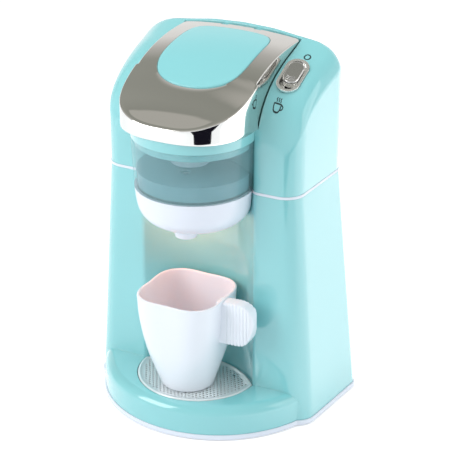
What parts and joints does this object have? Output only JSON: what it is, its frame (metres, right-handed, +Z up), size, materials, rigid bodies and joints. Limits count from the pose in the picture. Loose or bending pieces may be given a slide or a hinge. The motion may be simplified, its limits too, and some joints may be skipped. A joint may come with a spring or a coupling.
{
  "type": "toy coffee maker",
  "caption": "Toy single-cup coffee maker with flared housing, hinged bright lid, clear water tank over a cup bay, slide switch, lift-out drip tray and cup.",
  "frame": {"origin": "centre of the footprint's bounding box, on the surface the toy stands on", "axes": "+X to the right as seen from the front, -Y is the front where the cup stands, +Z up"},
  "size_m": [0.1568, 0.111, 0.2299],
  "materials": {
    "mint": "gloss",
    "mint_panel": "gloss",
    "white_plastic": "gloss",
    "cup_white": "satin",
    "chrome": "polished",
    "clear_blue": "clear",
    "rubber": "matt",
    "steel": "bare",
    "black_plastic": "matt",
    "grey_plastic": "satin",
    "silver_plastic": "metallic lacquer",
    "lens": "clear",
    "board": "lacquer",
    "cell": "gloss"
  },
  "bodies": {
    "housing": {"base_plate": "white_plastic", "foot_pads": "rubber", "base_screws": "steel", "lower_housing": "mint", "tray_well": "mint", "seam_band": "white_plastic", "upper_housing": "mint", "lid_hinge_pin": "steel", "head_collar": "mint", "fill_funnel": "white_plastic", "tank_shell": "clear_blue", "tank_floor": "clear_blue", "tank_seal": "rubber", "tank_base": "white_plastic", "outlet_nozzle": "white_plastic", "lamp_lens": "lens", "lamp_board": "board", "switch_bezel": "chrome", "switch_block": "black_plastic", "circuit_board": "board", "board_posts": "black_plastic", "battery_box": "black_plastic", "battery_cells": "cell", "battery_springs": "steel", "battery_contacts": "steel"},
    "lid": {"lid_shell": "chrome", "lid_inlay": "mint_panel"},
    "slider": {"switch_slider": "grey_plastic", "switch_cap": "chrome"},
    "valve": {"valve_stem": "white_plastic", "valve_seal": "rubber"},
    "battery_door": {"battery_door": "mint", "battery_door_screw": "steel"},
    "tray": {"tray_dish": "grey_plastic", "tray_grille": "silver_plastic"},
    "cup": {"cup": "cup_white"}
  },
  "joints": [
    {"name": "lid_hinge", "type": "hinge", "parent": "housing", "child": "lid", "pos_m": [0, 0.0462, 0.227], "axis": [-1, 0, 0], "range_deg": [0, 65]},
    {"name": "switch_slide", "type": "slide", "parent": "housing", "child": "slider", "axis": [0, -0.91, -0.4147], "range_m": [0, 0.0037]},
    {"name": "valve_lift", "type": "slide", "parent": "housing", "child": "valve", "axis": [0, 0, 1], "range_m": [0, 0.00185]},
    {"name": "battery_door_pull", "type": "slide", "parent": "housing", "child": "battery_door", "axis": [0, 0.9993, 0.0363], "range_m": [0, 0.03]},
    {"name": "tray_lift", "type": "slide", "parent": "housing", "child": "tray", "axis": [0, 0, 1], "range_m": [0, 0.014]},
    {"name": "cup_pull", "type": "slide", "parent": "tray", "child": "cup", "axis": [0, -1, 0], "range_m": [0, 0.08]}
  ],
  "couplings": [
    {"joint": "valve_lift", "follows": "switch_slide", "ratio": 0.5}
  ]
}
